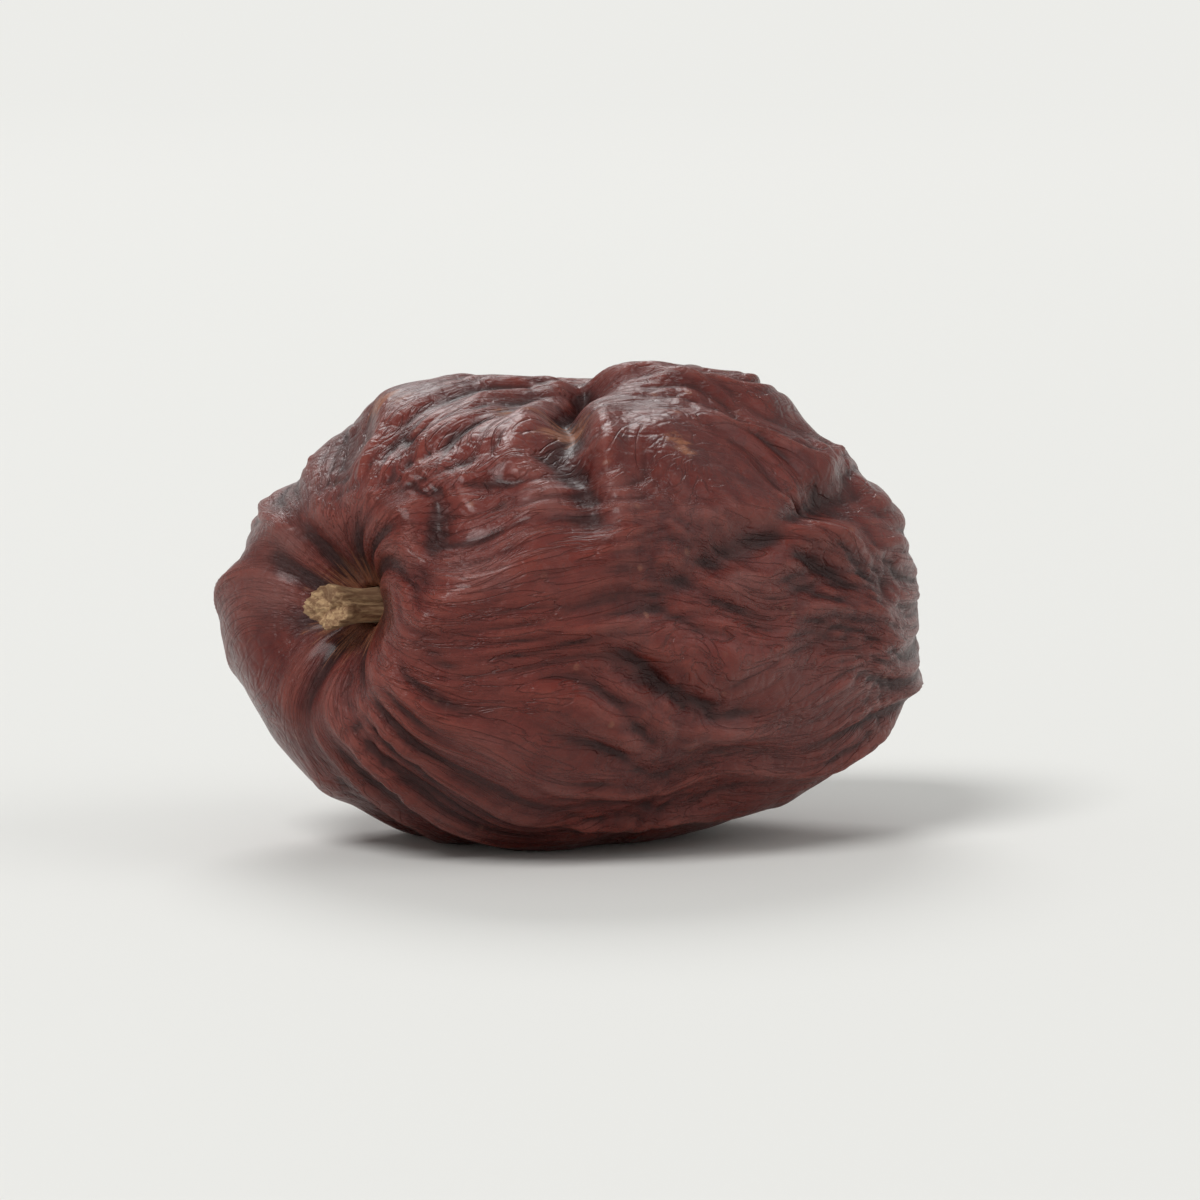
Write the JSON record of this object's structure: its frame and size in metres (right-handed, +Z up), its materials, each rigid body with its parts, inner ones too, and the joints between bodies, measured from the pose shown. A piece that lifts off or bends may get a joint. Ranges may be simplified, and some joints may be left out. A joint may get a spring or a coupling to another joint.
{
  "type": "dried jujube",
  "caption": "Dried jujube fruit lying on its side: sunken, wrinkled, dark red-brown skin, a puckered pit with a short dry stalk stub, and a flat spot to rest on.",
  "frame": {"origin": "on the resting plane, below the middle of the fruit's box", "axes": "+X along the fruit from the stalk end to the blossom end, +Z up from the resting spot"},
  "size_m": [0.0287, 0.0205, 0.0188],
  "materials": {
    "fruit_skin": "waxy semi-gloss, wrinkled, duller in the creases",
    "stalk": "dry, matt and fibrous"
  },
  "bodies": {
    "root": {"fruit": "fruit_skin", "stalk_stub": "stalk"}
  },
  "joints": []
}
